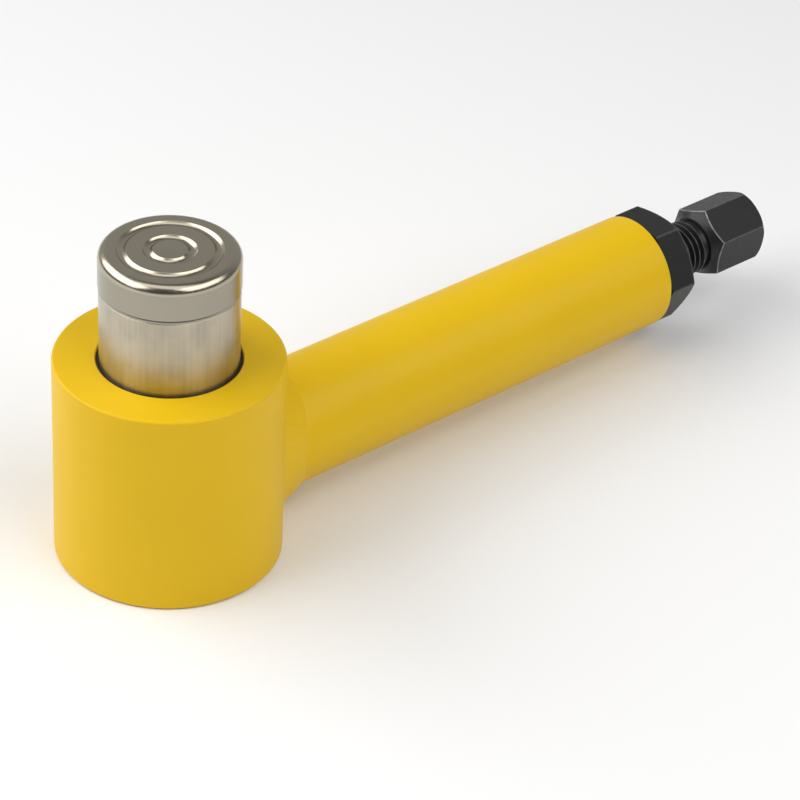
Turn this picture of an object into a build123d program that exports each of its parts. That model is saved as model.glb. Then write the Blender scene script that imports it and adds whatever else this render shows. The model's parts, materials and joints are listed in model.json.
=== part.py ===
"""Screw-operated hydraulic jack: a short cylinder with a hollow ram, and a pump barrel welded to its side.

Millimetres. The origin is the middle of the base, +Z runs up the ram and +X out along the barrel.
The ram stands 26 mm up from its closed place, and the pump plunger is as far in as that lift needs.
"""
from build123d import *
from math import cos, radians, tan
import os

# Cylinder body
BODY_DIA = 75.0
BODY_HEIGHT = 73.0
BODY_EDGE = 0.9
BODY_BASE_CHAMFER = 0.9
CYLINDER_BORE = 50.0
MOUTH_DIA = 47.0
MOUTH_CHAMFER = 0.6
NECK_LAND_DIA = 46.0
WIPER_GROOVE_DIA = 50.0
WIPER_GROOVE_LOW = 69.0
WIPER_GROOVE_HIGH = 72.0

# Base plug, screwed in from below
PLUG_THREAD_DIA = 58.0
PLUG_THREAD_LENGTH = 7.0
PLUG_HEIGHT = 11.5
PLUG_CHAMFER = 0.5
BASE_SEAL_LOW = 7.8
BASE_BACKUP_WIDTH = 0.8
O_RING_SECTION = 2.0
O_RING_CORNER = 0.58
SPANNER_HOLE_DIA = 5.0
SPANNER_HOLE_DEPTH = 5.0
SPANNER_HOLE_CIRCLE = 40.0

# Bleed screw, sunk into the base plug beside its middle
BLEED_OFFSET = -17.5
BLEED_THREAD_DIA = 8.0
BLEED_HEAD_DIA = 13.0
BLEED_RECESS_DIA = 14.5
BLEED_RECESS_DEPTH = 5.5
BLEED_WASHER = 1.0
BLEED_HEAD_INSET = 0.8
BLEED_SOCKET_FLATS = 5.0
BLEED_SOCKET_DEPTH = 2.6

# Ram and its piston
RAM_DIA = 45.0
RAM_TOP_CHAMFER = 0.4
PISTON_HEIGHT = 14.5
PISTON_CLOSED_Z = 14.0
PISTON_CLEARANCE = 0.05
PISTON_CHAMFER = 1.5
RAM_CAVITY_DIA = 26.0
RAM_HEAD_THICKNESS = 15.6
RAM_GROOVE_ROOT = 41.0
RAM_BAND_ROOT = 46.0
BUSH_OUTER_DIA = 49.0
BUSH_TOP_Z = 67.5
BUSH_CLEARANCE = 0.03
BUSH_STOP_GAP = 0.3
WIPER_CLEARANCE = 0.1

# Saddle
SADDLE_DIA = 45.5
SADDLE_TOP_Z = 113.0
SADDLE_HEIGHT = 12.2
SADDLE_BAND_DIA = 45.1
SADDLE_BAND_HEIGHT = 1.2
SADDLE_RIM_RADIUS = 3.2
SADDLE_GROOVE_RADII = (7.1, 15.45)
SADDLE_GROOVE_WIDTH = 3.2
SADDLE_GROOVE_FLOOR = 1.3
SADDLE_GROOVE_DEPTH = 0.95
SPIGOT_DIA = 20.0
SPIGOT_DEPTH = 7.6
SPIGOT_CLEARANCE = 0.1
SPIGOT_END_GAP = 0.4

# Return spring in the hollow ram
SPRING_WIRE = 3.2
SPRING_MEAN_DIA = 19.2
SPRING_TURNS = 6
SPRING_WIRE_SIDES = 8
ANCHOR_FLANGE_DIA = 22.0
ANCHOR_FLANGE = 2.0
ANCHOR_SPIGOT_DIA = 15.4
ANCHOR_SPIGOT = 9.0
ANCHOR_STUD_DIA = 8.0
ANCHOR_STUD = 5.0

# Pump barrel, square to the ram
TUBE_DIA = 41.0
TUBE_AXIS_Z = 27.2
TUBE_END_X = 208.4
TUBE_EDGE = 0.7
PUMP_BORE = 25.0
GLAND_THREAD_DIA = 33.0
GLAND_THREAD_LENGTH = 16.0
WELD_TUBE_LEG = 9.5
WELD_BODY_LEG = 4.6
PORT_DIA = 4.5
PORT_OUTER_Z = 18.5
PORT_INNER_Z = 12.5
PORT_OVERRUN = 1.5

# Gland nut
NUT_FLATS = 36.0
NUT_CORNER_ANGLE = 58.0
NUT_END_X = 221.0
NUT_END_DIA = 36.0
NUT_COLLAR_DIA = 34.0
NUT_COLLAR = 0.5
HEXAGON_CHAMFER_ANGLE = 30.0
NUT_SEAL_GROOVE = 2.4
SPINDLE_CLEARANCE = 0.05

# Spindle and its drive head
SPINDLE_DIA = 20.0
SPINDLE_PITCH = 2.5
THREAD_START_GAP = 1.0
THREAD_END_X = 236.2
THREAD_RUNOUT = 1.0
NECK_DIA = 17.4
SHOULDER_X = 238.6
SHOULDER_DIA = 19.8
HEAD_FLATS = 24.0
HEAD_CORNER_ANGLE = 37.1
HEAD_START_X = 240.3
HEAD_END_X = 263.9
HEAD_FACE_DIA = 22.4
HEAD_END_DIA = 22.6
HEAD_CROWN = 3.0
HEAD_CROWN_BULGE = 0.5

# Pump plunger
PLUNGER_CLEARANCE = 0.03
PLUNGER_LENGTH = 30.0
PLUNGER_CHAMFER = 1.0
PLUNGER_TIP_IN_X = 40.0
PLUNGER_GROOVE_ROOT = 18.0
PLUNGER_BAND_ROOT = 22.0
POCKET_DIA = 17.5
POCKET_DEPTH = 17.0
BALL_DIA = 8.0
COLLAR_DIA = 14.0
COLLAR_LENGTH = 3.4
COLLAR_NECK_DIA = 10.0
END_PLAY = 0.1
KEEPER_SPLIT = 0.4

# Seals of both pistons
U_CUP_HEIGHT = 5.0
U_CUP_NOTCH = 1.8
BACKUP_WIDTH = 1.4
SEAL_CLEARANCE = 0.05
BAND_WIDTH = 4.0
BAND_GAP = 1.0
LAND = 1.6

# Motion
STROKE = 30.0
LIFT = 26.0

# Worked out from the driving dimensions
area_ratio = (CYLINDER_BORE / PUMP_BORE) ** 2
plunger_travel = STROKE * area_ratio
plunger_tip_x = PLUNGER_TIP_IN_X + (STROKE - LIFT) * area_ratio
plunger_rear_x = plunger_tip_x + PLUNGER_LENGTH
piston_z = PISTON_CLOSED_Z + LIFT
piston_top_z = piston_z + PISTON_HEIGHT
ram_top_z = SADDLE_TOP_Z - SADDLE_HEIGHT - SADDLE_BAND_HEIGHT
cavity_top_z = ram_top_z - RAM_HEAD_THICKNESS
bush_low_z = PISTON_CLOSED_Z + STROKE + PISTON_HEIGHT + BUSH_STOP_GAP
gland_start_x = TUBE_END_X - GLAND_THREAD_LENGTH

barrel = Plane(origin=(0, 0, TUBE_AXIS_Z), x_dir=(0, 1, 0), z_dir=(1, 0, 0))
nodes = {}


def turned(*corners):
    """The solid turned about Z from the (radius, height) corners of its half section."""
    outline = Polyline(*[(radius, 0, height) for radius, height in corners], close=True)
    return revolve(make_face(outline), Axis.Z)


def rod(diameter, low, high):
    """A plain cylinder on Z between two heights."""
    return Pos(0, 0, low) * Cylinder(diameter / 2, high - low, align=(Align.CENTER, Align.CENTER, Align.MIN))


def ring(outer, inner, low, high):
    """A plain ring on Z between two heights."""
    return rod(outer, low, high) - rod(inner, low, high)


def o_ring(inner, outer, low):
    """A rubber ring, squeezed flat between two diameters and rounded off at its four corners."""
    return turned(
        (inner / 2, low + O_RING_CORNER),
        (inner / 2 + O_RING_CORNER, low),
        (outer / 2 - O_RING_CORNER, low),
        (outer / 2, low + O_RING_CORNER),
        (outer / 2, low + O_RING_SECTION - O_RING_CORNER),
        (outer / 2 - O_RING_CORNER, low + O_RING_SECTION),
        (inner / 2 + O_RING_CORNER, low + O_RING_SECTION),
        (inner / 2, low + O_RING_SECTION - O_RING_CORNER),
    )


def u_cup(inner, outer, low):
    """A lip seal whose notch faces the oil, which is below it."""
    middle = (inner + outer) / 4
    notch_half = (outer - inner) / 8
    return turned(
        (inner / 2, low),
        (inner / 2, low + U_CUP_HEIGHT),
        (outer / 2, low + U_CUP_HEIGHT),
        (outer / 2, low),
        (middle + notch_half, low),
        (middle, low + U_CUP_NOTCH),
        (middle - notch_half, low),
    )


def split_band(inner, outer, low, gap_angle):
    """A bearing band, cut once so that it can be sprung into its groove."""
    cut = Rot(0, 0, gap_angle) * Pos(outer / 2, 0, low + BAND_WIDTH / 2) * Box(outer / 2, BAND_GAP, BAND_WIDTH * 2)
    return ring(outer, inner, low, low + BAND_WIDTH) - cut


def across_corners(flats):
    """The diameter over the corners of a hexagon."""
    return flats / cos(radians(30))


def hexagon(flats, low, high, corner_angle):
    """A hexagonal prism on Z, with one corner at the angle given."""
    outline = RegularPolygon(flats / 2, 6, major_radius=False, rotation=0)
    first_corner = outline.vertices()[0]
    turn = corner_angle - Vector(1, 0, 0).get_signed_angle(Vector(*first_corner), Vector(0, 0, 1))
    return Pos(0, 0, low) * Rot(0, 0, turn) * extrude(outline, high - low)


def on_barrel(shape):
    """Moves a piece made on Z to the barrel's axis, where its heights become places along X."""
    return barrel.location * shape


def make_cylinder_body():
    outer = BODY_DIA / 2
    body = turned(
        (outer - BODY_BASE_CHAMFER, 0),
        (outer, BODY_BASE_CHAMFER),
        (outer, BODY_HEIGHT),
        (MOUTH_DIA / 2 + MOUTH_CHAMFER, BODY_HEIGHT),
        (MOUTH_DIA / 2, BODY_HEIGHT - MOUTH_CHAMFER),
        (MOUTH_DIA / 2, WIPER_GROOVE_HIGH),
        (WIPER_GROOVE_DIA / 2, WIPER_GROOVE_HIGH),
        (WIPER_GROOVE_DIA / 2, WIPER_GROOVE_LOW),
        (NECK_LAND_DIA / 2, WIPER_GROOVE_LOW),
        (NECK_LAND_DIA / 2, BUSH_TOP_Z),
        (BUSH_OUTER_DIA / 2, BUSH_TOP_Z),
        (BUSH_OUTER_DIA / 2, bush_low_z),
        (CYLINDER_BORE / 2, bush_low_z),
        (CYLINDER_BORE / 2, PLUG_THREAD_LENGTH),
        (PLUG_THREAD_DIA / 2, PLUG_THREAD_LENGTH),
        (PLUG_THREAD_DIA / 2, 0),
    )
    top_rim = body.edges().filter_by(GeomType.CIRCLE).group_by(SortBy.RADIUS)[-1].sort_by(Axis.Z)[-1]
    body = fillet(top_rim, BODY_EDGE)
    inner_end = Vector(CYLINDER_BORE / 2 - PORT_OVERRUN, 0, PORT_INNER_Z)
    outer_end = Vector(outer, 0, PORT_OUTER_Z)
    run = outer_end - inner_end
    drill = Plane(origin=inner_end, z_dir=run) * rod(PORT_DIA, 0, run.length + PORT_DIA)
    return body - drill


def make_base_plug():
    root = CYLINDER_BORE - 2 * O_RING_SECTION
    seal_high = BASE_SEAL_LOW + O_RING_SECTION + BASE_BACKUP_WIDTH
    plug = turned(
        (0, 0),
        (PLUG_THREAD_DIA / 2 - PLUG_CHAMFER, 0),
        (PLUG_THREAD_DIA / 2, PLUG_CHAMFER),
        (PLUG_THREAD_DIA / 2, PLUG_THREAD_LENGTH),
        (CYLINDER_BORE / 2, PLUG_THREAD_LENGTH),
        (CYLINDER_BORE / 2, BASE_SEAL_LOW),
        (root / 2, BASE_SEAL_LOW),
        (root / 2, seal_high),
        (CYLINDER_BORE / 2, seal_high),
        (CYLINDER_BORE / 2, PLUG_HEIGHT),
        (0, PLUG_HEIGHT),
    )
    plug -= rod(ANCHOR_STUD_DIA, PLUG_HEIGHT - ANCHOR_STUD, PLUG_HEIGHT)
    plug -= Pos(BLEED_OFFSET, 0, 0) * rod(BLEED_THREAD_DIA, 0, PLUG_HEIGHT)
    plug -= Pos(BLEED_OFFSET, 0, 0) * rod(BLEED_RECESS_DIA, 0, BLEED_RECESS_DEPTH)
    for side in (-1, 1):
        plug -= Pos(0, side * SPANNER_HOLE_CIRCLE / 2, 0) * rod(SPANNER_HOLE_DIA, 0, SPANNER_HOLE_DEPTH)
    return plug


def make_bleed_screw():
    head_high = BLEED_RECESS_DEPTH - BLEED_WASHER
    screw = rod(BLEED_HEAD_DIA, BLEED_HEAD_INSET, head_high) + rod(BLEED_THREAD_DIA, head_high, PLUG_HEIGHT)
    socket = hexagon(BLEED_SOCKET_FLATS, BLEED_HEAD_INSET, BLEED_HEAD_INSET + BLEED_SOCKET_DEPTH, 0)
    return Pos(BLEED_OFFSET, 0, 0) * (screw - socket)


def make_ram():
    rod_radius = RAM_DIA / 2
    piston_radius = CYLINDER_BORE / 2 - PISTON_CLEARANCE
    groove_low = piston_z + LAND
    groove_high = groove_low + U_CUP_HEIGHT + BACKUP_WIDTH
    band_low = groove_high + LAND
    band_high = band_low + BAND_WIDTH
    return turned(
        (RAM_CAVITY_DIA / 2, piston_z),
        (piston_radius - PISTON_CHAMFER, piston_z),
        (piston_radius, piston_z + PISTON_CHAMFER),
        (piston_radius, groove_low),
        (RAM_GROOVE_ROOT / 2, groove_low),
        (RAM_GROOVE_ROOT / 2, groove_high),
        (piston_radius, groove_high),
        (piston_radius, band_low),
        (RAM_BAND_ROOT / 2, band_low),
        (RAM_BAND_ROOT / 2, band_high),
        (piston_radius, band_high),
        (piston_radius, piston_top_z),
        (rod_radius, piston_top_z),
        (rod_radius, ram_top_z - RAM_TOP_CHAMFER),
        (rod_radius - RAM_TOP_CHAMFER, ram_top_z),
        (SPIGOT_DIA / 2, ram_top_z),
        (SPIGOT_DIA / 2, ram_top_z - SPIGOT_DEPTH - SPIGOT_END_GAP),
        (ANCHOR_STUD_DIA / 2, ram_top_z - SPIGOT_DEPTH - SPIGOT_END_GAP),
        (ANCHOR_STUD_DIA / 2, cavity_top_z),
        (RAM_CAVITY_DIA / 2, cavity_top_z),
    )


def make_saddle():
    band_top = ram_top_z + SADDLE_BAND_HEIGHT
    spigot_radius = SPIGOT_DIA / 2 - SPIGOT_CLEARANCE
    spigot_low = ram_top_z - SPIGOT_DEPTH
    seal_middle = ram_top_z - SPIGOT_DEPTH / 2
    root = SPIGOT_DIA / 2 - O_RING_SECTION
    saddle = turned(
        (0, spigot_low),
        (spigot_radius, spigot_low),
        (spigot_radius, seal_middle - O_RING_SECTION / 2),
        (root, seal_middle - O_RING_SECTION / 2),
        (root, seal_middle + O_RING_SECTION / 2),
        (spigot_radius, seal_middle + O_RING_SECTION / 2),
        (spigot_radius, ram_top_z),
        (SADDLE_BAND_DIA / 2, ram_top_z),
        (SADDLE_BAND_DIA / 2, band_top),
        (SADDLE_DIA / 2, band_top),
        (SADDLE_DIA / 2, SADDLE_TOP_Z),
        (0, SADDLE_TOP_Z),
    )
    saddle = fillet(saddle.edges().group_by(Axis.Z)[-1], SADDLE_RIM_RADIUS)
    for groove_radius in SADDLE_GROOVE_RADII:
        saddle -= turned(
            (groove_radius - SADDLE_GROOVE_WIDTH / 2, SADDLE_TOP_Z),
            (groove_radius - SADDLE_GROOVE_FLOOR / 2, SADDLE_TOP_Z - SADDLE_GROOVE_DEPTH),
            (groove_radius + SADDLE_GROOVE_FLOOR / 2, SADDLE_TOP_Z - SADDLE_GROOVE_DEPTH),
            (groove_radius + SADDLE_GROOVE_WIDTH / 2, SADDLE_TOP_Z),
        )
    return saddle


def make_spring_anchor():
    """A stud with a flange and a spigot that the end coils grip, standing on z = 0 with its stud below."""
    return (
        rod(ANCHOR_STUD_DIA, -ANCHOR_STUD, 0)
        + rod(ANCHOR_FLANGE_DIA, 0, ANCHOR_FLANGE)
        + rod(ANCHOR_SPIGOT_DIA, ANCHOR_FLANGE, ANCHOR_FLANGE + ANCHOR_SPIGOT)
    )


def make_return_spring():
    """A tension spring, whose round wire has eight sides here to keep the number of faces low."""
    low = PLUG_HEIGHT + ANCHOR_FLANGE + SPRING_WIRE / 2
    high = cavity_top_z - ANCHOR_FLANGE - SPRING_WIRE / 2
    path = Helix(pitch=(high - low) / SPRING_TURNS, height=high - low, radius=SPRING_MEAN_DIA / 2)
    section = Plane(origin=path @ 0, z_dir=path % 0) * RegularPolygon(SPRING_WIRE / 2, SPRING_WIRE_SIDES)
    return Pos(0, 0, low) * sweep(section, path, is_frenet=True)


def make_pump_tube():
    tube = rod(TUBE_DIA, 0, TUBE_END_X)
    tube = fillet(tube.edges().group_by(Axis.Z)[-1], TUBE_EDGE)
    tube -= rod(PUMP_BORE, 0, TUBE_END_X)
    tube -= rod(GLAND_THREAD_DIA, gland_start_x, TUBE_END_X)
    return on_barrel(tube) - rod(BODY_DIA, 0, BODY_HEIGHT)


def make_weld_bead():
    """A fillet weld round the seam, which reaches further along the barrel than over the body."""
    body = rod(BODY_DIA, 0, BODY_HEIGHT)
    tube = on_barrel(rod(TUBE_DIA, 0, TUBE_END_X))
    joined = body + tube
    seam = new_edges(body, tube, combined=joined)
    tube_side = joined.faces().filter_by(GeomType.CYLINDER).sort_by(Axis.X)[-1]
    return chamfer(seam, WELD_TUBE_LEG, WELD_BODY_LEG, reference=tube_side) - body - tube


def make_gland_nut():
    corner_radius = across_corners(NUT_FLATS) / 2
    hex_start = TUBE_END_X + NUT_COLLAR
    chamfer_depth = (corner_radius - NUT_END_DIA / 2) * tan(radians(HEXAGON_CHAMFER_ANGLE))
    blank = turned(
        (0, hex_start),
        (corner_radius, hex_start),
        (corner_radius, NUT_END_X - chamfer_depth),
        (NUT_END_DIA / 2, NUT_END_X),
        (0, NUT_END_X),
    )
    nut = hexagon(NUT_FLATS, hex_start, NUT_END_X, NUT_CORNER_ANGLE) & blank
    nut += rod(NUT_COLLAR_DIA, TUBE_END_X, hex_start)
    nut += rod(GLAND_THREAD_DIA, gland_start_x, TUBE_END_X)
    nut -= ring(GLAND_THREAD_DIA, GLAND_THREAD_DIA - 2 * O_RING_SECTION, TUBE_END_X - NUT_SEAL_GROOVE, TUBE_END_X)
    nut -= rod(SPINDLE_DIA, gland_start_x, NUT_END_X)
    return on_barrel(nut)


def make_spindle():
    thread_radius = SPINDLE_DIA / 2 - SPINDLE_CLEARANCE
    nose_x = plunger_rear_x - POCKET_DEPTH + BALL_DIA + END_PLAY
    collar_end_x = nose_x + COLLAR_LENGTH
    thread_start_x = plunger_rear_x + THREAD_START_GAP
    runout = thread_radius - COLLAR_NECK_DIA / 2
    screw = turned(
        (0, nose_x),
        (COLLAR_DIA / 2, nose_x),
        (COLLAR_DIA / 2, collar_end_x),
        (COLLAR_NECK_DIA / 2, collar_end_x),
        (COLLAR_NECK_DIA / 2, thread_start_x),
        (thread_radius, thread_start_x + runout),
        (thread_radius, THREAD_END_X),
        (NECK_DIA / 2, THREAD_END_X + THREAD_RUNOUT),
        (NECK_DIA / 2, SHOULDER_X),
        (0, SHOULDER_X),
    )
    return on_barrel(screw + make_drive_head())


def make_drive_head():
    """The spindle's hexagon, cut from a blank that is turned to a cone towards the barrel and to a crown outside."""
    corner_radius = across_corners(HEAD_FLATS) / 2
    cone_end_x = HEAD_START_X + (corner_radius - HEAD_FACE_DIA / 2) * tan(radians(HEXAGON_CHAMFER_ANGLE))
    inner_end = Polyline(
        (0, SHOULDER_X),
        (SHOULDER_DIA / 2, SHOULDER_X),
        (HEAD_FACE_DIA / 2, HEAD_START_X),
        (corner_radius, cone_end_x),
        (corner_radius, HEAD_END_X - HEAD_CROWN),
    )
    crown = SagittaArc(inner_end @ 1, (HEAD_END_DIA / 2, HEAD_END_X), -HEAD_CROWN_BULGE)
    outer_end = Polyline(crown @ 1, (0, HEAD_END_X), (0, SHOULDER_X))
    blank = revolve(make_face(Plane.XZ * (inner_end + crown + outer_end)), Axis.Z)
    return hexagon(HEAD_FLATS, SHOULDER_X, HEAD_END_X, HEAD_CORNER_ANGLE) & blank


def make_plunger():
    radius = PUMP_BORE / 2 - PLUNGER_CLEARANCE
    groove_low = plunger_tip_x + 2 * LAND
    groove_high = groove_low + U_CUP_HEIGHT + BACKUP_WIDTH
    band_high = plunger_rear_x - 2 * LAND
    band_low = band_high - BAND_WIDTH
    pocket_floor = plunger_rear_x - POCKET_DEPTH
    return on_barrel(
        turned(
            (0, plunger_tip_x),
            (radius - PLUNGER_CHAMFER, plunger_tip_x),
            (radius, plunger_tip_x + PLUNGER_CHAMFER),
            (radius, groove_low),
            (PLUNGER_GROOVE_ROOT / 2, groove_low),
            (PLUNGER_GROOVE_ROOT / 2, groove_high),
            (radius, groove_high),
            (radius, band_low),
            (PLUNGER_BAND_ROOT / 2, band_low),
            (PLUNGER_BAND_ROOT / 2, band_high),
            (radius, band_high),
            (radius, plunger_rear_x),
            (POCKET_DIA / 2, plunger_rear_x),
            (POCKET_DIA / 2, pocket_floor),
            (0, pocket_floor),
        )
    )


def make_plunger_keeper():
    low = plunger_rear_x - POCKET_DEPTH + BALL_DIA + COLLAR_LENGTH + 2 * END_PLAY
    keeper = ring(POCKET_DIA, COLLAR_NECK_DIA + 2 * END_PLAY, low, plunger_rear_x)
    keeper -= Pos(0, 0, low) * Box(POCKET_DIA * 2, KEEPER_SPLIT, PLUNGER_LENGTH)
    return on_barrel(keeper)


def add_cylinder_nodes():
    seal_low = BASE_SEAL_LOW
    root = CYLINDER_BORE - 2 * O_RING_SECTION
    nodes["cylinder_body"] = make_cylinder_body()
    nodes["base_plug"] = make_base_plug()
    nodes["base_o_ring"] = o_ring(root, CYLINDER_BORE, seal_low)
    backup_low = seal_low + O_RING_SECTION
    nodes["base_backup_ring"] = ring(CYLINDER_BORE, root, backup_low, backup_low + BASE_BACKUP_WIDTH)
    nodes["bleed_screw"] = make_bleed_screw()
    washer = ring(BLEED_HEAD_DIA, BLEED_THREAD_DIA, BLEED_RECESS_DEPTH - BLEED_WASHER, BLEED_RECESS_DEPTH)
    nodes["bleed_washer"] = Pos(BLEED_OFFSET, 0, 0) * washer
    nodes["guide_bush"] = ring(BUSH_OUTER_DIA, RAM_DIA + 2 * BUSH_CLEARANCE, bush_low_z, BUSH_TOP_Z)
    wiper_inner = RAM_DIA + 2 * WIPER_CLEARANCE
    nodes["wiper_ring"] = turned(
        (WIPER_GROOVE_DIA / 2, WIPER_GROOVE_LOW),
        (WIPER_GROOVE_DIA / 2, WIPER_GROOVE_HIGH),
        (wiper_inner / 2, WIPER_GROOVE_HIGH),
        (NECK_LAND_DIA / 2, WIPER_GROOVE_LOW),
    )


def add_ram_nodes():
    groove_low = piston_z + LAND
    seal_outer = CYLINDER_BORE - 2 * SEAL_CLEARANCE
    backup_low = groove_low + U_CUP_HEIGHT
    band_low = backup_low + BACKUP_WIDTH + LAND
    nodes["ram"] = make_ram()
    nodes["ram_u_cup"] = u_cup(RAM_GROOVE_ROOT, seal_outer, groove_low)
    nodes["ram_backup_ring"] = ring(seal_outer, RAM_GROOVE_ROOT, backup_low, backup_low + BACKUP_WIDTH)
    nodes["ram_wear_band"] = split_band(RAM_BAND_ROOT, seal_outer, band_low, 180)
    nodes["saddle"] = make_saddle()
    spigot_seal_low = ram_top_z - SPIGOT_DEPTH / 2 - O_RING_SECTION / 2
    nodes["saddle_o_ring"] = o_ring(SPIGOT_DIA - 2 * O_RING_SECTION, SPIGOT_DIA, spigot_seal_low)
    nodes["spring_anchor_lower"] = Pos(0, 0, PLUG_HEIGHT) * make_spring_anchor()
    nodes["spring_anchor_upper"] = Pos(0, 0, cavity_top_z) * Rot(180, 0, 0) * make_spring_anchor()
    nodes["return_spring"] = make_return_spring()


def add_pump_nodes():
    groove_low = plunger_tip_x + 2 * LAND
    seal_outer = PUMP_BORE - 2 * SEAL_CLEARANCE
    backup_low = groove_low + U_CUP_HEIGHT
    band_low = plunger_rear_x - 2 * LAND - BAND_WIDTH
    gland_root = GLAND_THREAD_DIA - 2 * O_RING_SECTION
    gland_seal_low = TUBE_END_X - NUT_SEAL_GROOVE / 2 - O_RING_SECTION / 2
    nodes["pump_tube"] = make_pump_tube()
    nodes["weld_bead"] = make_weld_bead()
    nodes["gland_nut"] = make_gland_nut()
    nodes["gland_o_ring"] = on_barrel(o_ring(gland_root, GLAND_THREAD_DIA, gland_seal_low))
    nodes["plunger"] = make_plunger()
    nodes["plunger_u_cup"] = on_barrel(u_cup(PLUNGER_GROOVE_ROOT, seal_outer, groove_low))
    backup = ring(seal_outer, PLUNGER_GROOVE_ROOT, backup_low, backup_low + BACKUP_WIDTH)
    nodes["plunger_backup_ring"] = on_barrel(backup)
    nodes["plunger_wear_band"] = on_barrel(split_band(PLUNGER_BAND_ROOT, seal_outer, band_low, 90))
    nodes["plunger_keeper"] = make_plunger_keeper()
    ball_x = plunger_rear_x - POCKET_DEPTH + BALL_DIA / 2
    nodes["thrust_ball"] = on_barrel(Pos(0, 0, ball_x) * Sphere(BALL_DIA / 2))
    nodes["spindle"] = make_spindle()


add_cylinder_nodes()
add_ram_nodes()
add_pump_nodes()

os.makedirs("parts", exist_ok=True)
for name, shape in nodes.items():
    export_step(shape, f"parts/{name}.step")

print(f"area ratio {area_ratio:.3f}, plunger travel {plunger_travel:.1f} mm")
print(f"spindle turns for the whole stroke {plunger_travel / SPINDLE_PITCH:.1f}")
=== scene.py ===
import json
from math import asin, atan2, cos, exp, pi, radians, sin, sqrt, tan

import bmesh
import bpy
from mathutils import Matrix, Vector


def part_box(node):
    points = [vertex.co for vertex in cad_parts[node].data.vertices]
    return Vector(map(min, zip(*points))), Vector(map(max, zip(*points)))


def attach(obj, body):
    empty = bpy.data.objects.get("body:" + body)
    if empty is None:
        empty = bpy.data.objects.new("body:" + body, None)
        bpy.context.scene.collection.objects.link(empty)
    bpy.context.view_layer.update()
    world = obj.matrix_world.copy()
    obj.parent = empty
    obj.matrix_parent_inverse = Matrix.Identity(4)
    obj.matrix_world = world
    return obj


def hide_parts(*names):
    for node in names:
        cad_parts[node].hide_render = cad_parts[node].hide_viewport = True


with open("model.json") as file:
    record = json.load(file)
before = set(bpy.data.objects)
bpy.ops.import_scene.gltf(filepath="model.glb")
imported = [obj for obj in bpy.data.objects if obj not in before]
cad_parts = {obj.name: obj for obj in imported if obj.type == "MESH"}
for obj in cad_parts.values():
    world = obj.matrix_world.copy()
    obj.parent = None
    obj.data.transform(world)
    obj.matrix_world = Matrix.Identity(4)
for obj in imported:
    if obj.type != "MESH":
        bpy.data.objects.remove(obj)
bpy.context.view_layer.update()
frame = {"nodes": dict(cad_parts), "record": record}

mm = 0.001


# The camera stands where the photograph was taken: above the jack and to the left of its barrel,
# a little over a metre away, with a long lens that is rolled by a few degrees.
camera_azimuth = radians(-42.08)
camera_elevation = radians(34.30)
camera_roll = radians(3.01)
camera_distance = 1161.3 * mm
camera_aim = Vector((99.45, 0, 15.34)) * mm
camera_focal_length = 152.14
camera_sensor = 36.0

back = Vector((
    sin(camera_azimuth) * cos(camera_elevation),
    -cos(camera_azimuth) * cos(camera_elevation),
    sin(camera_elevation),
))
level_right = Vector((0, 0, 1)).cross(back).normalized()
level_up = back.cross(level_right)
right = level_right * cos(camera_roll) + level_up * sin(camera_roll)
up = level_up * cos(camera_roll) - level_right * sin(camera_roll)

lens = bpy.data.cameras.new("camera")
lens.lens = camera_focal_length
lens.sensor_width = camera_sensor
camera = bpy.data.objects.new("camera", lens)
facing = Matrix((right, up, back)).transposed().to_4x4()
camera.matrix_world = Matrix.Translation(camera_aim + back * camera_distance) @ facing
bpy.context.scene.collection.objects.link(camera)
bpy.context.scene.camera = camera


# The studio is a pale floor in a room with a lit far wall and a dark near side. A wide soft box hangs to the
# left of the jack, a smaller one to its right and a weak one overhead. None of it belongs to the object.
floor_size = 12.0
floor_colour = (0.86, 0.86, 0.86, 1)
dark_side = (0.07, 0.07, 0.07, 1)
far_wall = (0.42, 0.42, 0.42, 1)
wall_spread = (0.10, 0.85)
near_side = Vector((back.x, back.y, 0)).normalized()
jack_middle = Vector((100, 0, 50)) * mm
box_distance = 1.5


# Shader maths is written with this class: arithmetic on a value adds its Math nodes.
class Value:
    def __init__(self, tree, socket):
        self.tree = tree
        self.socket = socket

    def math(self, operation, *others, clamp=False):
        settings = {"operation": operation, "use_clamp": clamp}
        return add_node(self.tree, "ShaderNodeMath", settings, dict(enumerate((self, *others))))

    def __add__(self, other):
        return self.math("ADD", other)

    def __sub__(self, other):
        return self.math("SUBTRACT", other)

    def __mul__(self, other):
        return self.math("MULTIPLY", other)

    def __rsub__(self, other):
        return self * -1 + other

    __radd__ = __add__
    __rmul__ = __mul__

    def power(self, exponent):
        return self.math("POWER", exponent)

    def larger(self, other):
        return self.math("MAXIMUM", other)

    def smaller(self, other):
        return self.math("MINIMUM", other)

    def between(self, low, high):
        """0 where the value is below low, 1 where it is above high, and smooth in between."""
        settings = {"interpolation_type": "SMOOTHSTEP"}
        limits = {"Value": self, "From Min": low, "From Max": high}
        return add_node(self.tree, "ShaderNodeMapRange", settings, limits)


def add_node(tree, kind, settings=None, inputs=None, output=0):
    """Adds any node: its settings first, then the values or links of its sockets."""
    node = tree.nodes.new(kind)
    for name, setting in (settings or {}).items():
        setattr(node, name, setting)
    for name, source in (inputs or {}).items():
        if isinstance(source, Value):
            tree.links.new(source.socket, node.inputs[name])
        else:
            node.inputs[name].default_value = source
    return Value(tree, node.outputs[output])


def blend_colours(tree, factor, first, second):
    settings = {"data_type": "RGBA"}
    return add_node(tree, "ShaderNodeMix", settings, {"Factor": factor, 6: first, 7: second}, 2)


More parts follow.
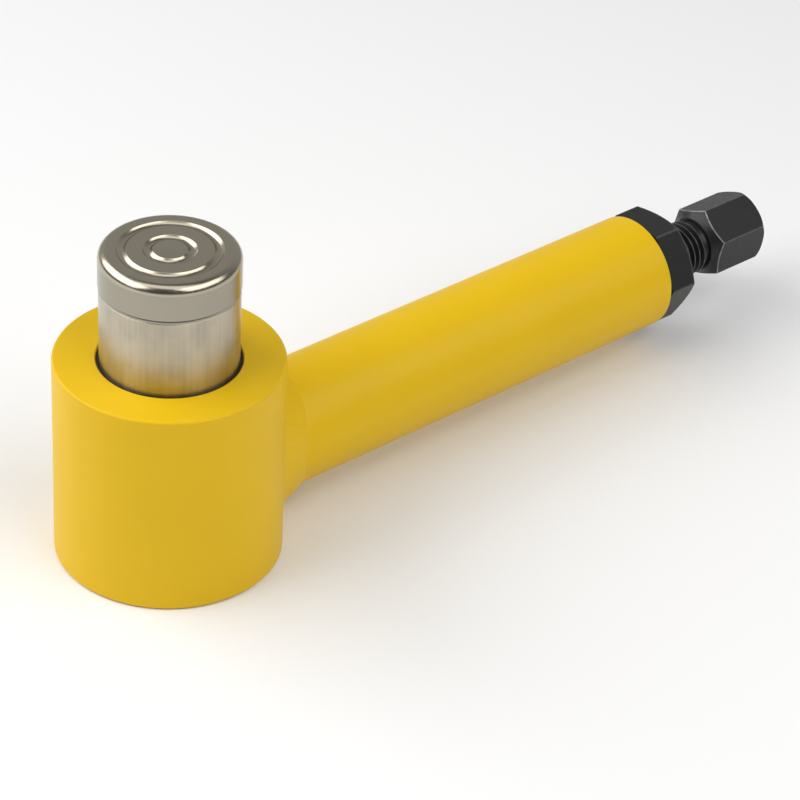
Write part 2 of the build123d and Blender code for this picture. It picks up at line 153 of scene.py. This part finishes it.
def new_finish(name, **shader):
    """A material with one Principled shader, whose sockets are given as name=value with _ for a space."""
    finish = bpy.data.materials.new(name)
    finish.use_nodes = True
    tree = finish.node_tree
    tree.nodes.clear()
    surface = tree.nodes.new("ShaderNodeBsdfPrincipled")
    output = tree.nodes.new("ShaderNodeOutputMaterial")
    tree.links.new(surface.outputs[0], output.inputs["Surface"])
    for socket, value in shader.items():
        surface.inputs[socket.replace("_", " ")].default_value = value
    return finish


floor_mesh = bpy.data.meshes.new("floor")
sheet = bmesh.new()
bmesh.ops.create_grid(sheet, x_segments=1, y_segments=1, size=floor_size / 2)
sheet.to_mesh(floor_mesh)
sheet.free()
floor = bpy.data.objects.new("floor", floor_mesh)
floor_mesh.materials.append(new_finish("floor_paper", Base_Color=floor_colour, Roughness=0.9))
bpy.context.scene.collection.objects.link(floor)

room = bpy.data.worlds.new("room")
room.use_nodes = True
walls = room.node_tree
gaze = add_node(walls, "ShaderNodeTexCoord", output="Generated")
farness = add_node(walls, "ShaderNodeVectorMath", {"operation": "DOT_PRODUCT"},
                   {0: gaze, 1: -near_side}, "Value")
room_light = blend_colours(walls, farness.between(*wall_spread), dark_side, far_wall)
walls.links.new(room_light.socket, walls.nodes["Background"].inputs["Color"])
bpy.context.scene.world = room
bpy.context.scene.view_settings.view_transform = "Standard"


def soft_box(name, aside, raised, size, power):
    """A soft box aimed at the jack, from an angle to the right of the camera and a height angle."""
    bearing = near_side * cos(aside) + level_right * sin(aside)
    away = bearing * cos(raised) + Vector((0, 0, sin(raised)))
    lamp = bpy.data.lights.new(name, "AREA")
    lamp.shape = "RECTANGLE"
    lamp.size, lamp.size_y = size
    lamp.energy = power
    box = bpy.data.objects.new(name, lamp)
    box.location = jack_middle + away * box_distance
    box.rotation_euler = away.to_track_quat("Z", "Y").to_euler()
    bpy.context.scene.collection.objects.link(box)


soft_box("left_box", radians(-86), radians(38), (2.3, 1.1), 25)
soft_box("right_box", radians(60), radians(43), (1.7, 1.0), 13.5)
soft_box("overhead_box", radians(-15), radians(74), (1.6, 0.9), 6)


# The cylinder body is a short thick steel tube, turned all over and sprayed with yellow enamel. Its outer
# edges are only just broken, and its mouth is rounded a little where the ram comes out.
body_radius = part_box("cylinder_body")[1].x
body_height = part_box("cylinder_body")[1].z
body_edge = 0.9 * mm
base_chamfer = 0.9 * mm
mouth_radius = 23.5 * mm
mouth_edge = 0.6 * mm
wiper_groove_radius = 25.0 * mm
wiper_low, wiper_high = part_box("wiper_ring")[0].z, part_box("wiper_ring")[1].z
neck_radius = 23.0 * mm
bush_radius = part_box("guide_bush")[1].x
bush_low, bush_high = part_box("guide_bush")[0].z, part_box("guide_bush")[1].z
cylinder_bore = 25.0 * mm
plug_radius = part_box("base_plug")[1].x
plug_thread_length = 7.0 * mm
turning_steps = 240
step_of_rounding = 0.3 * mm
weld_distance = 0.002 * mm

enamel_colour = (0.78, 0.495, 0.003, 1)
enamel_shade = (0.73, 0.455, 0.002, 1)
enamel_peel = 1.6 * mm
enamel_peel_depth = 0.010 * mm
enamel_cloud = 30 * mm


def feed(finish, socket, value):
    surface = finish.node_tree.nodes["Principled BSDF"]
    finish.node_tree.links.new(value.socket, surface.inputs[socket])


def place_on_piece(tree):
    """The point on the piece, in metres, as a vector and as its three numbers."""
    point = add_node(tree, "ShaderNodeTexCoord", output="Object")
    apart = tree.nodes.new("ShaderNodeSeparateXYZ")
    tree.links.new(point.socket, apart.inputs[0])
    return point, [Value(tree, number) for number in apart.outputs]


def noise(tree, point, grain, detail=2.0, stretch=(1, 1, 1)):
    """Noise with features of about the grain's size, in metres, drawn out along an axis by its stretch."""
    scale = tuple(1 / (grain * times) for times in stretch)
    spread = add_node(tree, "ShaderNodeMapping", inputs={"Vector": point, "Scale": scale})
    return add_node(tree, "ShaderNodeTexNoise", inputs={"Vector": spread, "Scale": 1.0, "Detail": detail})


def relief(finish, height, depth):
    """Gives the finish a bump of that depth in metres, where height runs from 0 to 1."""
    bump = add_node(finish.node_tree, "ShaderNodeBump", inputs={"Height": height, "Distance": depth},
                    output="Normal")
    feed(finish, "Normal", bump)


def yellow_enamel():
    finish = new_finish("yellow_enamel", Specular_IOR_Level=0.26)
    tree = finish.node_tree
    point, _ = place_on_piece(tree)
    cloud = noise(tree, point, enamel_cloud, 3.0)
    feed(finish, "Base Color", blend_colours(tree, cloud, enamel_shade, enamel_colour))
    feed(finish, "Roughness", noise(tree, point, 6 * mm, 3.0) * 0.08 + 0.42)
    relief(finish, noise(tree, point, enamel_peel, 1.5), enamel_peel_depth)
    return finish


def turned_piece(outline, rounded=()):
    """A bmesh spun about Z from (radius, height) corners, with some (radius, height, edge radius) rounded."""
    piece = bmesh.new()
    corners = [piece.verts.new((radius, 0, height)) for radius, height in outline]
    ends_on_axis = outline[0][0] == 0 and outline[-1][0] == 0
    followers = corners[1:] if ends_on_axis else corners[1:] + corners[:1]
    edges = [piece.edges.new(pair) for pair in zip(corners, followers)]
    bmesh.ops.spin(piece, geom=corners + edges, cent=(0, 0, 0), axis=(0, 0, 1), angle=2 * pi,
                   steps=turning_steps, use_merge=True)
    bmesh.ops.remove_doubles(piece, verts=piece.verts, dist=weld_distance)
    bmesh.ops.recalc_face_normals(piece, faces=piece.faces)
    for radius, height, edge_radius in rounded:
        round_rim(piece, radius, height, edge_radius)
    return piece


def round_rim(piece, radius, height, edge_radius):
    close = 0.01 * mm

    def on_rim(vert):
        return abs(Vector(vert.co[:2]).length - radius) < close and abs(vert.co.z - height) < close

    rim = [edge for edge in piece.edges if all(on_rim(vert) for vert in edge.verts)]
    bmesh.ops.bevel(piece, geom=rim, offset=edge_radius, affect="EDGES", profile=0.5, material=-1,
                    segments=max(4, round(edge_radius / step_of_rounding)), clamp_overlap=True)


def put_in_place(name, piece, body, finish, nodes=()):
    """Turns a bmesh into a piece that rides on a body and stands for the nodes named."""
    mesh = bpy.data.meshes.new(name)
    piece.to_mesh(mesh)
    piece.free()
    mesh.shade_smooth()
    mesh.set_sharp_from_angle(angle=radians(35))
    mesh.materials.append(finish)
    thing = bpy.data.objects.new(name, mesh)
    bpy.context.scene.collection.objects.link(thing)
    normals = thing.modifiers.new("even_shading", "WEIGHTED_NORMAL")
    normals.weight = 100
    normals.keep_sharp = True
    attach(thing, body)
    if nodes:
        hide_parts(*nodes)
    return thing


enamel = yellow_enamel()
body_piece = turned_piece([
    (body_radius - base_chamfer, 0),
    (body_radius, base_chamfer),
    (body_radius, body_height),
    (mouth_radius, body_height),
    (mouth_radius, wiper_high),
    (wiper_groove_radius, wiper_high),
    (wiper_groove_radius, wiper_low),
    (neck_radius, wiper_low),
    (neck_radius, bush_high),
    (bush_radius, bush_high),
    (bush_radius, bush_low),
    (cylinder_bore, bush_low),
    (cylinder_bore, plug_thread_length),
    (plug_radius, plug_thread_length),
    (plug_radius, 0),
], [
    (body_radius, body_height, body_edge),
    (mouth_radius, body_height, mouth_edge),
])
put_in_place("enamelled_body", body_piece, "housing", enamel, ["cylinder_body"])


# The pump barrel is a thick tube, coped to lie on the body, threaded inside at its far end for the gland nut
# and sprayed together with the body. Its end is rounded off and catches the light.
tube_low, tube_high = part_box("pump_tube")
barrel_z = (tube_low.z + tube_high.z) / 2
tube_radius = tube_high.y
tube_end = tube_high.x
tube_edge = 0.7 * mm
pump_bore = 12.5 * mm
gland_radius = 16.5 * mm
gland_edge = 0.4 * mm
gland_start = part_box("gland_nut")[0].x
along_barrel = Matrix(((0, 0, 1, 0), (1, 0, 0, 0), (0, 1, 0, barrel_z), (0, 0, 0, 1)))


def on_body_surface(across):
    """How far out along X the body's surface lies, at a distance across from the middle plane."""
    return sqrt(body_radius ** 2 - across ** 2)


tube_piece = turned_piece([
    (tube_radius, 0),
    (tube_radius, tube_end),
    (gland_radius, tube_end),
    (gland_radius, gland_start),
    (pump_bore, gland_start),
    (pump_bore, 0),
], [
    (tube_radius, tube_end, tube_edge),
    (gland_radius, tube_end, gland_edge),
])
bmesh.ops.transform(tube_piece, matrix=along_barrel, verts=tube_piece.verts)
for vert in tube_piece.verts:
    if vert.co.x < body_radius / 2:
        vert.co.x = on_body_surface(vert.co.y)
put_in_place("enamelled_barrel", tube_piece, "housing", enamel, ["pump_tube"])


# The weld runs round the barrel where it meets the body, and reaches further along the barrel than over the
# body. It was laid in two passes, with a crease between them that is deepest below, and painted over.
weld_tube_leg = 9.5 * mm
weld_body_leg = 4.6 * mm
weld_rows = 26
weld_steps = 480
weld_foot = 0.35 * mm
first_pass_share = 0.76
first_pass_bulge = 0.15 * mm
crease_depth = 0.30 * mm
crease_spread = 0.08
weld_ripple = 0.025 * mm
weld_ripples = 58


def weld_toes(angle):
    """Where the weld ends on the barrel and on the body, and its root, at an angle round the barrel."""
    across = tube_radius * cos(angle)
    height = barrel_z + tube_radius * sin(angle)
    seam_x = on_body_surface(across)
    seam_slope = across * sin(angle) / seam_x
    leg = weld_tube_leg / sqrt(1 + seam_slope ** 2)
    toe_angle = angle - leg * seam_slope / tube_radius
    tube_toe = Vector((seam_x + leg, tube_radius * cos(toe_angle), barrel_z + tube_radius * sin(toe_angle)))
    bearing = asin(across / body_radius)
    outwards = Vector((cos(angle), sin(angle) / cos(bearing))).normalized() * weld_body_leg
    toe_bearing = bearing + outwards.x / body_radius
    body_toe = Vector((body_radius * cos(toe_bearing), body_radius * sin(toe_bearing), height + outwards.y))
    return tube_toe, body_toe, Vector((seam_x, across, height))


def weld_swell(share, angle):
    """How far the weld stands out from the straight line between its toes."""
    bulge = first_pass_bulge * sin(pi * min(share / first_pass_share, 1))
    depth_here = crease_depth * ((1 - sin(angle)) / 2) ** 3
    crease = depth_here * exp(-((share - first_pass_share) / crease_spread) ** 2)
    ripple = weld_ripple * sin(pi * share) * sin(weld_ripples * angle + 4 * share)
    return bulge - crease + ripple


weld_piece = bmesh.new()
ring = bmesh.ops.create_circle(weld_piece, cap_ends=False, radius=tube_radius - weld_foot,
                               segments=weld_steps)["verts"]
bmesh.ops.transform(weld_piece, matrix=along_barrel, verts=weld_piece.verts)
rows = [ring]
edges = list(weld_piece.edges)
for row in range(weld_rows + 1):
    grown = bmesh.ops.extrude_edge_only(weld_piece, edges=edges)["geom"]
    rows.append([part for part in grown if isinstance(part, bmesh.types.BMVert)])
    edges = [part for part in grown if isinstance(part, bmesh.types.BMEdge)]
bmesh.ops.bridge_loops(weld_piece, edges=[edge for edge in weld_piece.edges if edge.is_boundary])
for vert in ring:
    vert.co.x = on_body_surface(vert.co.y) - weld_foot
for number, row in enumerate(rows[1:]):
    share = number / weld_rows
    for vert in row:
        angle = atan2(vert.co.z - barrel_z, vert.co.y)
        tube_toe, body_toe, root = weld_toes(angle)
        straight = tube_toe.lerp(body_toe, share)
        vert.co = straight + (straight - root).normalized() * weld_swell(share, angle)
bmesh.ops.recalc_face_normals(weld_piece, faces=weld_piece.faces)
put_in_place("weld_fillet", weld_piece, "housing", enamel, ["weld_bead"])


# The ram is a hard-chromed steel rod, ground to size, so that it mirrors the yellow body below it but blurs
# everything along its length.
ram_radius = 22.5 * mm
ram_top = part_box("ram")[1].z
piston_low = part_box("ram")[0].z
piston_high = piston_low + 14.5 * mm
piston_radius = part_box("ram")[1].x
piston_edge = 1.2 * mm
cavity_radius = 13.0 * mm
cavity_top = ram_top - 15.6 * mm
socket_radius = 10.0 * mm
socket_depth = 8.0 * mm
ram_chamfer = 0.3 * mm
chrome_colour = (0.55, 0.50, 0.395, 1)
chrome_haze = (0.37, 0.335, 0.265, 1)
across_the_grinding = 0.25


def ground_chrome():
    finish = new_finish("ground_chrome", Metallic=1.0, Anisotropic=0.75,
                        Anisotropic_Rotation=across_the_grinding)
    tree = finish.node_tree
    point, _ = place_on_piece(tree)
    wiped = noise(tree, point, 1.2 * mm, 3.0, stretch=(1, 1, 25))
    cloud = noise(tree, point, 14 * mm, 2.0)
    hazy = (wiped * 0.3 + cloud * 0.7).between(0.25, 0.70)
    feed(finish, "Base Color", blend_colours(tree, hazy, chrome_haze, chrome_colour))
    feed(finish, "Roughness", wiped * 0.10 + cloud * 0.12 + 0.20)
    grinding = noise(tree, point, 0.25 * mm, 1.0, stretch=(40, 40, 1))
    relief(finish, grinding, 0.0012 * mm)
    return finish


ram_piece = turned_piece([
    (0, ram_top - socket_depth),
    (socket_radius, ram_top - socket_depth),
    (socket_radius, ram_top),
    (ram_radius - ram_chamfer, ram_top),
    (ram_radius, ram_top - ram_chamfer),
    (ram_radius, piston_high),
    (piston_radius, piston_high),
    (piston_radius, piston_low),
    (cavity_radius, piston_low),
    (cavity_radius, cavity_top),
    (0, cavity_top),
], [
    (piston_radius, piston_low, piston_edge),
])
put_in_place("chromed_ram", ram_piece, "ram_unit", ground_chrome(), ["ram"])


# The saddle is a turned and polished steel cap that sits on the ram. Two ring grooves in its face keep the
# load from slipping, and its rim is well rounded. Its side below the rim takes a darker copy of the same
# steel, as painted shade.
saddle_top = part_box("saddle")[1].z
saddle_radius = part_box("saddle")[1].x
saddle_height = 12.2 * mm
band_radius = 22.6 * mm
rim_radius = 3.2 * mm
groove_radii = (7.1 * mm, 15.45 * mm)
groove_half_width = 1.6 * mm
groove_depth = 1.0 * mm
groove_edge = 0.12 * mm
joint_groove_radius = 22.3 * mm
joint_groove = 0.6 * mm
spigot_radius = 9.9 * mm
spigot_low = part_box("saddle")[0].z
saddle_colour = (0.46, 0.415, 0.325, 1)
# The side's darker copy of the steel colour is painted shade.
saddle_side_painted_shade_colour = (0.36, 0.33, 0.265, 1)


def bowed(start, end, bulge, steps):
    """Points from start to end, both left out, on a curve that stands out from the straight line."""
    start, end = Vector(start), Vector(end)
    sideways = Vector((end.y - start.y, start.x - end.x)).normalized()
    shares = [step / steps for step in range(1, steps)]
    return [tuple(start.lerp(end, share) + sideways * 4 * bulge * share * (1 - share)) for share in shares]


def polished_steel(name, colour):
    finish = new_finish(name, Metallic=1.0, Base_Color=colour)
    tree = finish.node_tree
    point, (x, y, z) = place_on_piece(tree)
    radius = (x * x + y * y).power(0.5)
    feed(finish, "Roughness", noise(tree, point, 5 * mm, 3.0) * 0.10 + 0.18)
    turning = noise(tree, add_node(tree, "ShaderNodeCombineXYZ", inputs={0: radius, 1: z}), 0.12 * mm, 2.0)
    relief(finish, turning, 0.0015 * mm)
    return finish


face_outline = [(0, saddle_top)]
for groove_radius in groove_radii:
    inner = (groove_radius - groove_half_width, saddle_top)
    outer = (groove_radius + groove_half_width, saddle_top)
    face_outline += [inner, *bowed(inner, outer, groove_depth, 12), outer]
groove_rims = [(groove_radius + side * groove_half_width, saddle_top, groove_edge)
               for groove_radius in groove_radii for side in (-1, 1)]
saddle_low = saddle_top - saddle_height
saddle_piece = turned_piece(face_outline + [
    (saddle_radius, saddle_top),
    (saddle_radius, saddle_low),
    (joint_groove_radius, saddle_low),
    (band_radius, saddle_low - joint_groove),
    (band_radius, ram_top),
    (spigot_radius, ram_top),
    (spigot_radius, spigot_low),
    (0, spigot_low),
], groove_rims + [
    (saddle_radius, saddle_top, rim_radius),
])
# The faces of the side below the rim get the darker copy of the steel: painted shade.
for face in saddle_piece.faces:
    place = face.calc_center_median()
    if place.z < saddle_top - rim_radius and Vector(place[:2]).length > band_radius - mm:
        face.material_index = 1
polish = polished_steel("polished_saddle_steel", saddle_colour)
saddle_side_painted_shade = polished_steel("saddle_steel_with_painted_shade", saddle_side_painted_shade_colour)
saddle = put_in_place("grooved_saddle", saddle_piece, "ram_unit", polish, ["saddle"])
saddle.data.materials.append(saddle_side_painted_shade)


# The gland nut closes the barrel and guides the spindle. It is milled from hexagon bar with a round shank for
# its thread, chamfered on its outer face and blackened; its corners and outer rim are painted bright, partly
# as wear and partly as painted highlight.
nut_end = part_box("gland_nut")[1].x
nut_collar = 0.5 * mm
nut_start = tube_end + nut_collar
nut_collar_radius = 17.0 * mm
nut_flats = 36 * mm
nut_corner_angle = radians(58)
nut_face_radius = 18.0 * mm
hexagon_chamfer = radians(30)
nut_edge = 0.3 * mm
# The nut's corners and outer rim are painted bright: partly wear, partly painted highlight.
nut_wear_and_highlight_width = 0.7 * mm
nut_rim_wear_and_highlight = 0.30
nut_corner_wear_and_highlight = 0.22
spindle_radius = 10.0 * mm
oxide_colour = (0.009, 0.009, 0.009, 1)
# The bright colour on the edges stands for worn metal and for painted highlight.
worn_and_highlight_colour = (0.34, 0.33, 0.32, 1)


def black_oxide(name, find_wear_and_highlight):
    finish = new_finish(name, Specular_IOR_Level=0.4)
    tree = finish.node_tree
    point, (along, across, height) = place_on_piece(tree)
    up = height - barrel_z
    # The mask paints the edges bright metal: partly real wear, partly painted highlight where the edges would
    # catch the light.
    worn_and_lit = find_wear_and_highlight(along, across, up, (across * across + up * up).power(0.5))
    patchy = noise(tree, point, 2.5 * mm, 3.0).between(0.30, 0.60)
    scuffs = noise(tree, point, 0.7 * mm, 3.0).between(0.66, 0.80) * 0.2
    wear_and_highlight = (worn_and_lit * (patchy * 0.6 + 0.4)).larger(scuffs)
    feed(finish, "Base Color", blend_colours(tree, wear_and_highlight, oxide_colour, worn_and_highlight_colour))
    feed(finish, "Metallic", wear_and_highlight * 0.8)
    feed(finish, "Roughness", noise(tree, point, 2 * mm, 4.0) * 0.16 + 0.30)
    relief(finish, noise(tree, point, 0.5 * mm, 3.0), 0.006 * mm)
    return finish


def closeness(value, surface, width):
    """1 where the value is that of the surface, falling to 0 at the width from it."""
    return 1 - (value - surface).math("ABSOLUTE").between(0, width)


def towards_sides(across, up, corner_angle):
    """How far out a point lies towards the nearest side of a hexagon, and towards the next one."""
    facings = [corner_angle + radians(30 + 60 * side) for side in range(3)]
    first, second, third = [(across * cos(facing) + up * sin(facing)).math("ABSOLUTE") for facing in facings]
    nearest = first.larger(second).larger(third)
    farthest = first.smaller(second).smaller(third)
    return nearest, first + second + third - nearest - farthest


# Paints the nut's corners and chamfer rim bright, as wear and as painted highlight.
def nut_wear_and_highlight(along, across, up, radius):
    nearest, beside = towards_sides(across, up, nut_corner_angle)
    corners = closeness(beside, nut_flats / 2, nut_wear_and_highlight_width)
    chamfer = nut_end - (radius - nut_face_radius) * tan(hexagon_chamfer)
    rim = closeness(nearest, nut_flats / 2, nut_wear_and_highlight_width) * closeness(along, chamfer, nut_wear_and_highlight_width)
    return (corners * nut_corner_wear_and_highlight).larger(rim * nut_rim_wear_and_highlight)


def corner_radius(flats):
    return flats / 2 / cos(pi / 6)


def hexagon_prism(flats, low, high, edge_radius):
    """A hexagonal bar on Z with its first corner at the angle 0, and its corners a little rounded."""
    prism = bmesh.new()
    placed = Matrix.Translation((0, 0, (low + high) / 2)) @ Matrix.Rotation(-pi / 2, 4, "Z")
    bmesh.ops.create_cone(prism, cap_ends=True, cap_tris=False, segments=6, radius1=corner_radius(flats),
                          radius2=corner_radius(flats), depth=high - low, matrix=placed)
    corners = [edge for edge in prism.edges if abs(edge.verts[0].co.z - edge.verts[1].co.z) > mm]
    bmesh.ops.bevel(prism, geom=corners, offset=edge_radius, affect="EDGES", segments=3, profile=0.5,
                    material=-1)
    return prism


def as_object(name, piece):
    mesh = bpy.data.meshes.new(name)
    piece.to_mesh(mesh)
    piece.free()
    thing = bpy.data.objects.new(name, mesh)
    bpy.context.scene.collection.objects.link(thing)
    return thing


def cut_together(piece, tool, operation):
    """The exact intersection, difference or union of two closed bmeshes, as a new bmesh."""
    first, second = as_object("first", piece), as_object("second", tool)
    cut = first.modifiers.new("cut", "BOOLEAN")
    cut.operation = operation
    cut.solver = "EXACT"
    cut.object = second
    result = bmesh.new()
    result.from_object(first, bpy.context.evaluated_depsgraph_get())
    for thing in (first, second):
        bpy.data.objects.remove(thing)
    bmesh.ops.remove_doubles(result, verts=result.verts, dist=weld_distance)
    return result


nut_outside = corner_radius(nut_flats) + mm
nut_chamfer = (nut_outside - nut_face_radius) * tan(hexagon_chamfer)
nut_piece = cut_together(hexagon_prism(nut_flats, nut_start, nut_end + mm, nut_edge), turned_piece([
    (0, nut_start - mm),
    (nut_outside, nut_start - mm),
    (nut_outside, nut_end - nut_chamfer),
    (nut_face_radius, nut_end),
    (0, nut_end),
], [
    (nut_face_radius, nut_end, nut_edge),
]), "INTERSECT")
nut_piece = cut_together(nut_piece, turned_piece([
    (0, gland_start),
    (gland_radius, gland_start),
    (gland_radius, tube_end),
    (nut_collar_radius, tube_end),
    (nut_collar_radius, nut_start + mm),
    (0, nut_start + mm),
]), "UNION")
nut_piece = cut_together(nut_piece, turned_piece([
    (0, gland_start - mm),
    (spindle_radius, gland_start - mm),
    (spindle_radius, nut_end + mm),
    (0, nut_end + mm),
]), "DIFFERENCE")
turned_nut = along_barrel @ Matrix.Rotation(nut_corner_angle, 4, "Z")
bmesh.ops.transform(nut_piece, matrix=turned_nut, verts=nut_piece.verts)
nut_oxide = black_oxide("black_oxide_of_nut", nut_wear_and_highlight)
put_in_place("hexagon_gland_nut", nut_piece, "housing", nut_oxide, ["gland_nut"])


# The spindle drives the pump. It is a blackened steel screw with a hexagonal head forged on it for a socket.
# The head is turned to a cone towards the barrel and to a crown outside; its inner edges and corners are
# painted bright, partly as wear and partly as painted highlight.
spindle_low, head_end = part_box("spindle")[0].x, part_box("spindle")[1].x
shoulder = 238.6 * mm
shoulder_radius = 9.9 * mm
head_start = 240.3 * mm
head_face_radius = 11.2 * mm
head_flats = 24 * mm
head_corner_angle = radians(37.1)
head_corner = corner_radius(head_flats)
head_outside = head_corner + mm
head_crown = 3.0 * mm
head_crown_bulge = 0.5 * mm
head_end_radius = 11.3 * mm
head_edge = 0.3 * mm
# The head's inner edges and corners are painted bright: partly wear, partly painted highlight.
head_wear_and_highlight_width = 0.45 * mm
head_inner_wear_and_highlight = 1.0
head_corner_wear_and_highlight = 0.35


# Paints the head's inner cone edge and corners bright, as wear and as painted highlight.
def head_wear_and_highlight(along, across, up, radius):
    nearest, beside = towards_sides(across, up, head_corner_angle)
    corners = closeness(beside, head_flats / 2, head_wear_and_highlight_width)
    cone = (radius - head_face_radius) * tan(hexagon_chamfer) + head_start
    inner = closeness(nearest, head_flats / 2, head_wear_and_highlight_width) * closeness(along, cone, head_wear_and_highlight_width)
    return (corners * head_corner_wear_and_highlight).larger(inner * head_inner_wear_and_highlight)


crown_start, crown_end = (head_corner, head_end - head_crown), (head_end_radius, head_end)
head_piece = cut_together(hexagon_prism(head_flats, shoulder - mm, head_end + mm, head_edge), turned_piece([
    (0, shoulder),
    (shoulder_radius, shoulder),
    (head_face_radius, head_start),
    (head_outside, head_start + (head_outside - head_face_radius) * tan(hexagon_chamfer)),
    (head_outside, head_end - head_crown - mm),
    crown_start,
    *bowed(crown_start, crown_end, head_crown_bulge, 6),
    crown_end,
    (0, head_end),
], [
    (head_end_radius, head_end, head_edge),
]), "INTERSECT")
turned_head = along_barrel @ Matrix.Rotation(head_corner_angle, 4, "Z")
bmesh.ops.transform(head_piece, matrix=turned_head, verts=head_piece.verts)
head_oxide = black_oxide("black_oxide_of_head", head_wear_and_highlight)
put_in_place("spindle_head", head_piece, "spindle_unit", head_oxide, ["spindle"])

thread_start = spindle_low + 10.9 * mm
thread_runout = 1.0 * mm
thread_end = 236.2 * mm + thread_runout
thread_pitch = 2.5 * mm
thread_crest = 9.95 * mm
thread_root = 8.6 * mm
thread_core = 8.2 * mm
# The thread's crests are painted bright: partly wear, partly painted highlight.
thread_wear_and_highlight = 0.3
steps_of_a_turn = 48


# Paints the crests bright, as wear and as painted highlight.
def crest_wear_and_highlight(along, across, up, radius):
    return closeness(radius, thread_crest, 0.15 * mm) * thread_wear_and_highlight


thread = bmesh.new()
turns = int((thread_end - thread_start) / thread_pitch) + 3
shares_of_pitch = [(thread_root, 0), (thread_root, 0.14), (thread_crest, 0.42), (thread_crest, 0.54),
                   (thread_root, 0.82), (thread_root, 1)]
lowest = thread_start - 2 * thread_pitch
profile = [thread.verts.new((radius, 0, lowest + share * thread_pitch)) for radius, share in shares_of_pitch]
flanks = [thread.edges.new(pair) for pair in zip(profile, profile[1:])]
bmesh.ops.spin(thread, geom=profile + flanks, cent=(0, 0, 0), axis=(0, 0, 1), angle=2 * pi * turns,
               dvec=(0, 0, thread_pitch / steps_of_a_turn), steps=steps_of_a_turn * turns)
bmesh.ops.remove_doubles(thread, verts=thread.verts, dist=weld_distance)
for vert in thread.verts:
    radius = Vector(vert.co[:2]).length
    from_end = min(vert.co.z - thread_start, thread_end - vert.co.z)
    allowed = max(thread_root + from_end * (thread_crest - thread_root) / thread_runout, thread_core)
    if radius > allowed:
        vert.co.xy *= allowed / radius
for height, outwards in ((thread_start, -1), (thread_end, 1)):
    bmesh.ops.bisect_plane(thread, geom=thread.verts[:] + thread.edges[:] + thread.faces[:],
                           plane_co=(0, 0, height), plane_no=(0, 0, outwards), clear_outer=True)
bmesh.ops.holes_fill(thread, edges=thread.edges, sides=0)
bmesh.ops.recalc_face_normals(thread, faces=thread.faces)
bmesh.ops.transform(thread, matrix=along_barrel, verts=thread.verts)
thread_oxide = black_oxide("black_oxide_of_thread", crest_wear_and_highlight)
put_in_place("spindle_thread", thread, "spindle_unit", thread_oxide)

collar_radius = 7.0 * mm
collar_end = spindle_low + 3.4 * mm
collar_neck = 5.0 * mm
inside_thread = 8.0 * mm
neck_radius = 8.7 * mm
shank = turned_piece([
    (0, spindle_low),
    (collar_radius, spindle_low),
    (collar_radius, collar_end),
    (collar_neck, collar_end),
    (collar_neck, thread_start),
    (inside_thread, thread_start + mm),
    (inside_thread, thread_end - mm),
    (neck_radius, thread_end),
    (neck_radius, shoulder + mm),
    (0, shoulder + mm),
])
bmesh.ops.transform(shank, matrix=along_barrel, verts=shank.verts)
put_in_place("spindle_shank", shank, "spindle_unit", thread_oxide)


# The inner pieces and the underside show only when the jack is taken apart: bare and spring steel, bronze,
# copper, moulded seals and turned plastic rings.
inner_finishes = {
    "bare_steel": ((0.42, 0.41, 0.40, 1), 1.0, 0.30, 0.3 * mm),
    "spring_steel": ((0.16, 0.16, 0.17, 1), 0.8, 0.40, 0.6 * mm),
    "bush_bronze": ((0.60, 0.40, 0.17, 1), 1.0, 0.30, 0.3 * mm),
    "washer_copper": ((0.72, 0.33, 0.19, 1), 1.0, 0.35, 0.4 * mm),
    "seal_rubber": ((0.012, 0.009, 0.006, 1), 0.0, 0.60, 0.4 * mm),
    "seal_polyurethane": ((0.06, 0.13, 0.22, 1), 0.0, 0.40, 0.8 * mm),
    "backup_plastic": ((0.78, 0.77, 0.72, 1), 0.0, 0.50, 0.5 * mm),
    "band_plastic": ((0.27, 0.06, 0.035, 1), 0.0, 0.50, 0.3 * mm),
}


def inner_finish(name, colour, metallic, roughness, grain):
    finish = new_finish(name, Metallic=metallic)
    tree = finish.node_tree
    point, _ = place_on_piece(tree)
    darker = tuple(channel * 0.7 for channel in colour[:3]) + (1,)
    speckle = noise(tree, point, grain, 3.0)
    feed(finish, "Base Color", blend_colours(tree, noise(tree, point, 8 * grain, 3.0), darker, colour))
    feed(finish, "Roughness", speckle * 0.2 + (roughness - 0.1))
    relief(finish, speckle, grain / 60)
    return finish


finishes = {name: inner_finish(name, *look) for name, look in inner_finishes.items()}
for subpart in frame["record"]["subparts"]:
    node = frame["nodes"][subpart["node"]]
    if subpart["material_slot"] in finishes:
        node.data.materials.clear()
        node.data.materials.append(finishes[subpart["material_slot"]])
